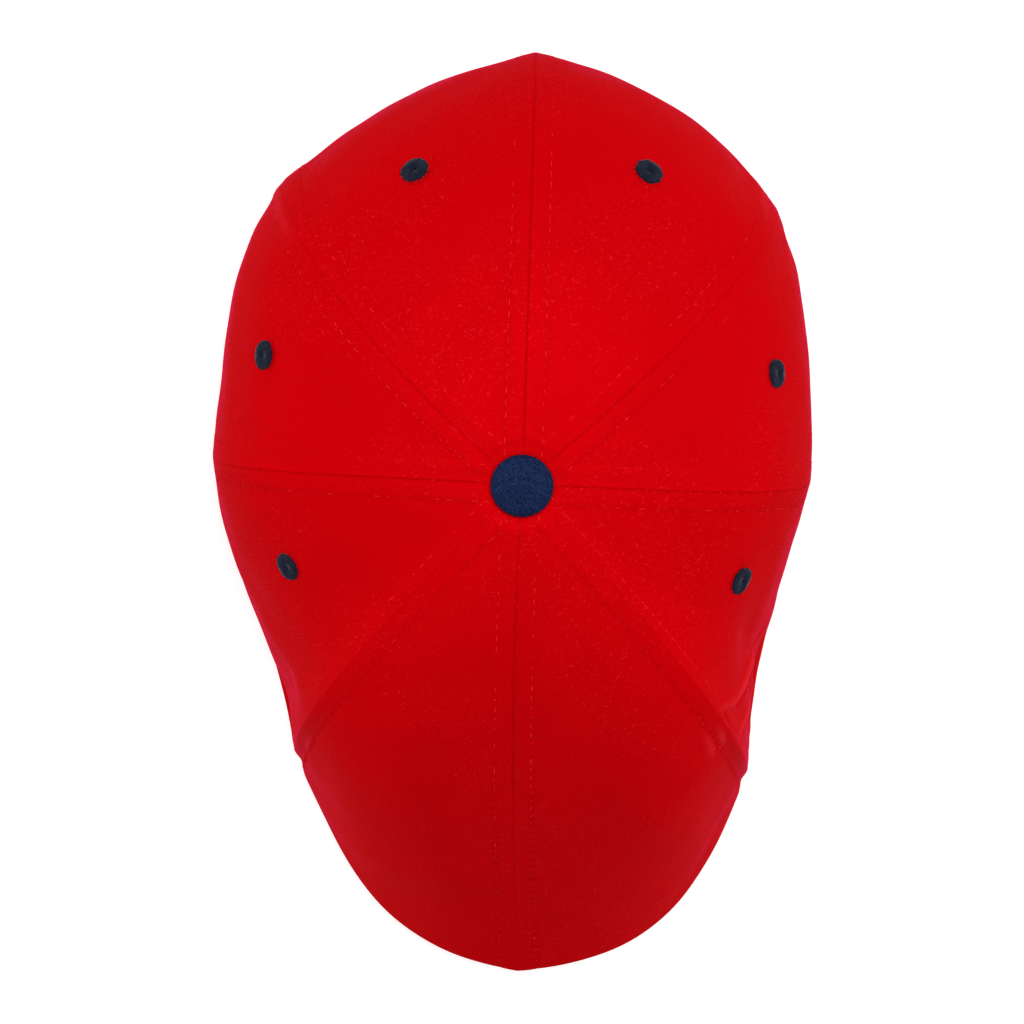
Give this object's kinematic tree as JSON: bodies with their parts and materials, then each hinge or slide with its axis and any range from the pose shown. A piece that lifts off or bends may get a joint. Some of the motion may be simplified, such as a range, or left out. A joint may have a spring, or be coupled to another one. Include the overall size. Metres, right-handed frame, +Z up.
{
  "type": "eight panel flat cap",
  "caption": "Soft cloth flat cap whose front panels run on over a curved peak, with a covered top button and sewn eyelets; rests open side down.",
  "frame": {"origin": "on the floor under the middle of the cap's bounding box", "axes": "+Z up through the top button, +Y towards the back of the head, the peak points to -Y, +X to the wearer's left"},
  "size_m": [0.1814, 0.286, 0.1249],
  "materials": {
    "red_twill": "matt cotton twill with a slight sheen at its edges",
    "peak_cloth": "matt cotton twill",
    "band_cloth": "matt cotton",
    "navy_twill": "matt fine twill",
    "navy_thread": "satin stitched thread"
  },
  "bodies": {
    "root": {"panel_rear_right": "red_twill", "panel_back_right": "red_twill", "panel_back_left": "red_twill", "panel_rear_left": "red_twill", "panel_temple_left": "red_twill", "panel_front_left": "red_twill", "panel_front_right": "red_twill", "panel_temple_right": "red_twill", "peak": "peak_cloth", "sweatband": "band_cloth", "top_button": "navy_twill", "eyelet_back_left": "navy_thread", "eyelet_back_right": "navy_thread", "eyelet_rear_left": "navy_thread", "eyelet_rear_right": "navy_thread", "eyelet_temple_left": "navy_thread", "eyelet_temple_right": "navy_thread"}
  },
  "joints": []
}
